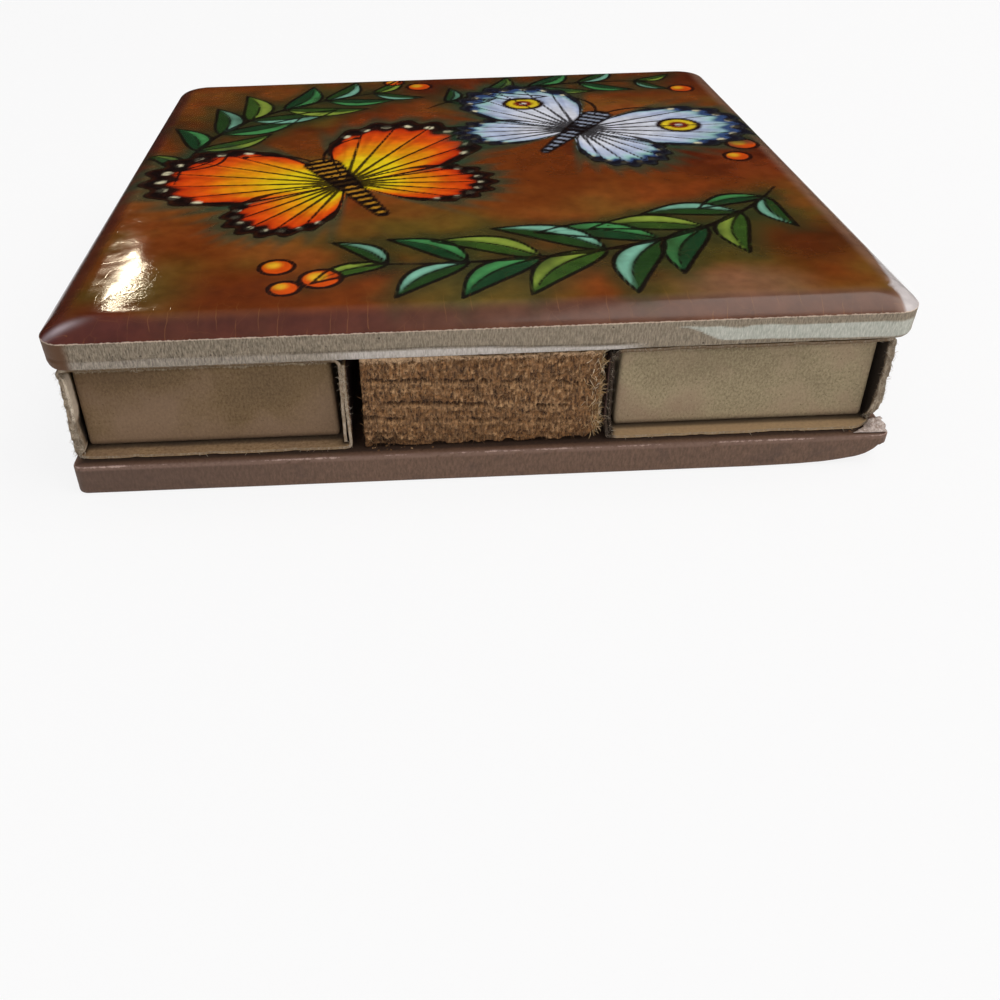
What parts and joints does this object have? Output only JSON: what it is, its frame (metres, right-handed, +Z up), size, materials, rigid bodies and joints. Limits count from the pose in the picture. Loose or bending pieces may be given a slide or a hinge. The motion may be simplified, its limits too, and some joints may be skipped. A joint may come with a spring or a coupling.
{
  "type": "matchbox holder",
  "caption": "Square desk holder for matchboxes: a glazed tile over a painted plate, with card boxes glued between them whose drawers slide out at the front and back.",
  "frame": {"origin": "centre of the underside of the base plate", "axes": "+Z up; -Y is the front, the side whose two matchbox ends the picture shows; +X to the right seen from the front"},
  "size_m": [0.108, 0.1106, 0.0234],
  "materials": {
    "glazed_tile": "glossy mottled brown glaze with a painted design, bare buff clay on the sides",
    "painted_board": "hardboard with worn brown paint",
    "sawn_softwood": "rough sawn, stained brown",
    "sleeve_card": "thin solid board, grey-beige, torn at the edges",
    "drawer_card": "plain grey-brown solid board",
    "striker_coat": "dark brown striking coat, gritty",
    "set_glue": "set contact glue"
  },
  "bodies": {
    "holder": {"base_plate": "painted_board", "top_tile": "glazed_tile", "centre_strip": "sawn_softwood", "strip_glue_below": "set_glue", "strip_glue_above": "set_glue", "front_left_sleeve": "sleeve_card", "front_left_striker_left": "striker_coat", "front_left_striker_right": "striker_coat", "front_left_glue_below": "set_glue", "front_left_glue_above": "set_glue", "front_right_sleeve": "sleeve_card", "front_right_striker_left": "striker_coat", "front_right_striker_right": "striker_coat", "front_right_glue_below": "set_glue", "front_right_glue_above": "set_glue", "back_left_sleeve": "sleeve_card", "back_left_striker_left": "striker_coat", "back_left_striker_right": "striker_coat", "back_left_glue_below": "set_glue", "back_left_glue_above": "set_glue", "back_right_sleeve": "sleeve_card", "back_right_striker_left": "striker_coat", "back_right_striker_right": "striker_coat", "back_right_glue_below": "set_glue", "back_right_glue_above": "set_glue"},
    "drawer_front_left": {"front_left_drawer": "drawer_card"},
    "drawer_front_right": {"front_right_drawer": "drawer_card"},
    "drawer_back_left": {"back_left_drawer": "drawer_card"},
    "drawer_back_right": {"back_right_drawer": "drawer_card"}
  },
  "joints": [
    {"name": "front_left_slide", "type": "slide", "parent": "holder", "child": "drawer_front_left", "axis": [0, -1, 0], "range_m": [0, 0.04]},
    {"name": "front_right_slide", "type": "slide", "parent": "holder", "child": "drawer_front_right", "axis": [0, -1, 0], "range_m": [0, 0.04]},
    {"name": "back_left_slide", "type": "slide", "parent": "holder", "child": "drawer_back_left", "axis": [0, 1, 0], "range_m": [0, 0.04]},
    {"name": "back_right_slide", "type": "slide", "parent": "holder", "child": "drawer_back_right", "axis": [0, 1, 0], "range_m": [0, 0.04]}
  ]
}
